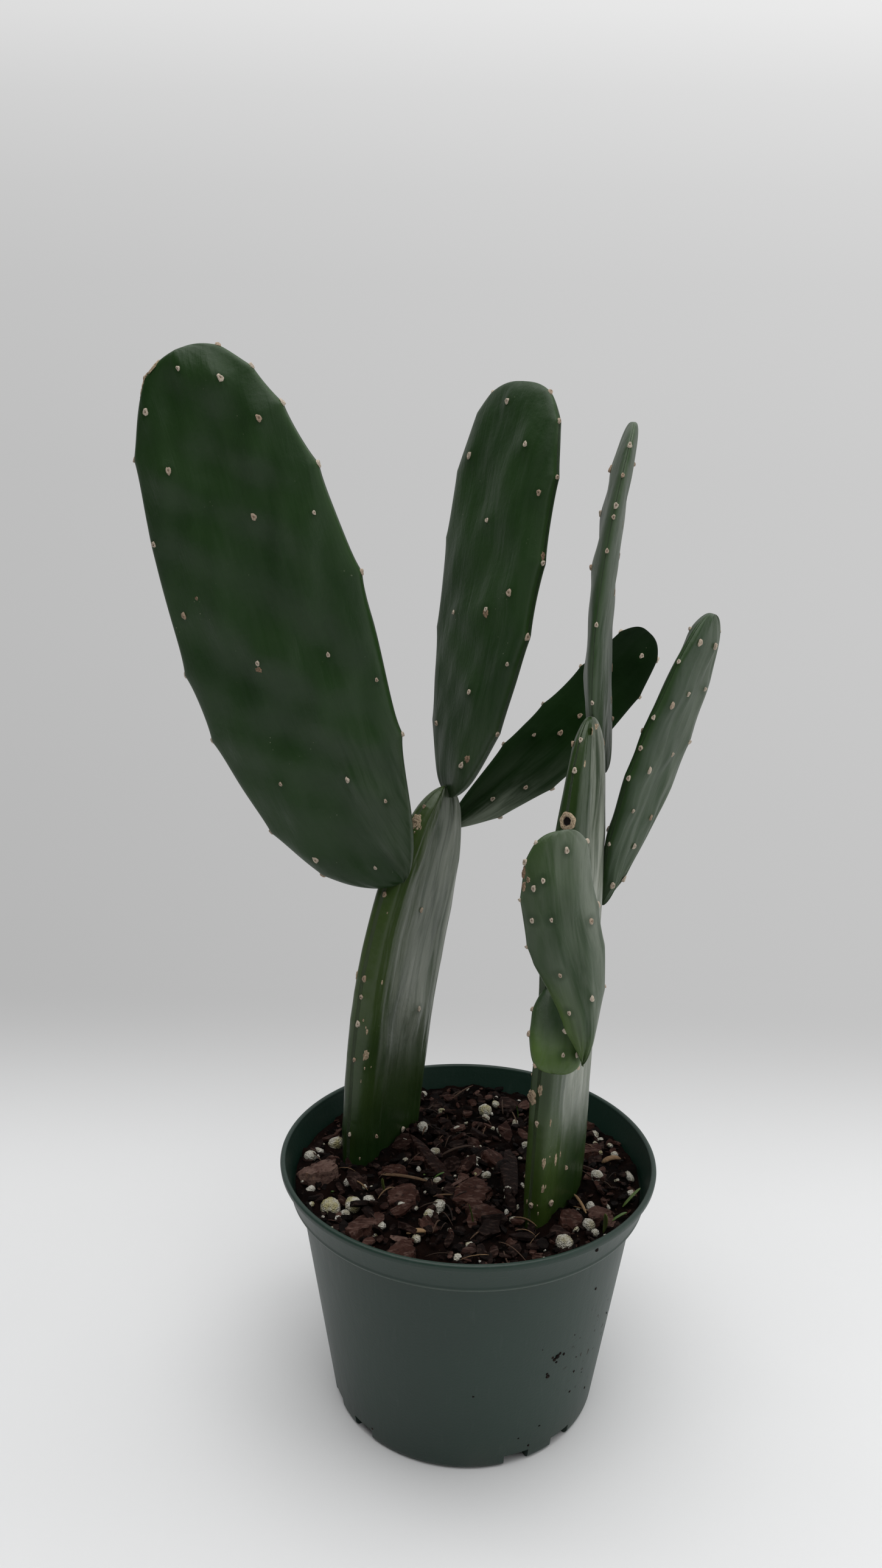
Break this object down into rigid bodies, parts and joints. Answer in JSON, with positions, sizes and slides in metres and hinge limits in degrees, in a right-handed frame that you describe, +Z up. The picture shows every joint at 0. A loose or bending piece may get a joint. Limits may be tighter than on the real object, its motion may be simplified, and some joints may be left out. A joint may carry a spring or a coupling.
{
  "type": "potted paddle cactus",
  "caption": "Potted paddle cactus: upright flattened stems with smooth oblong paddles, rooted in bark mix in a round tapered nursery pot.",
  "frame": {"origin": "centre of the pot base, where it rests on a surface", "axes": "+Z up through the pot axis; -Y is the side with the small front paddle, -X is the side with the biggest paddle"},
  "size_m": [0.2313, 0.165, 0.4462],
  "materials": {
    "pot_plastic": "satin dark green moulded plastic",
    "potting_mix": "moist dark bark and peat mix",
    "stem_skin": "waxy grey-green skin with corky streaks",
    "paddle_skin": "waxy dark green skin with pale areoles",
    "bark": "rough fir bark",
    "perlite": "matte porous grains"
  },
  "bodies": {
    "root": {"pot": "pot_plastic", "potting_mix": "potting_mix", "left_stem": "stem_skin", "right_stem": "stem_skin", "left_big_paddle": "paddle_skin", "left_middle_paddle": "paddle_skin", "left_rear_paddle": "paddle_skin", "right_top_paddle": "paddle_skin", "right_side_paddle": "paddle_skin", "right_low_paddle": "paddle_skin", "right_front_paddle": "paddle_skin", "bark_chip_01": "bark", "bark_chip_02": "bark", "bark_chip_03": "bark", "bark_chip_04": "bark", "bark_chip_05": "bark", "bark_chip_06": "bark", "bark_chip_07": "bark", "bark_chip_08": "bark", "bark_chip_09": "bark", "bark_chip_10": "bark", "bark_chip_11": "bark", "bark_chip_12": "bark", "perlite_01": "perlite", "perlite_02": "perlite", "perlite_03": "perlite", "perlite_04": "perlite", "perlite_05": "perlite", "perlite_06": "perlite", "perlite_07": "perlite", "perlite_08": "perlite", "perlite_09": "perlite", "perlite_10": "perlite"}
  },
  "joints": []
}
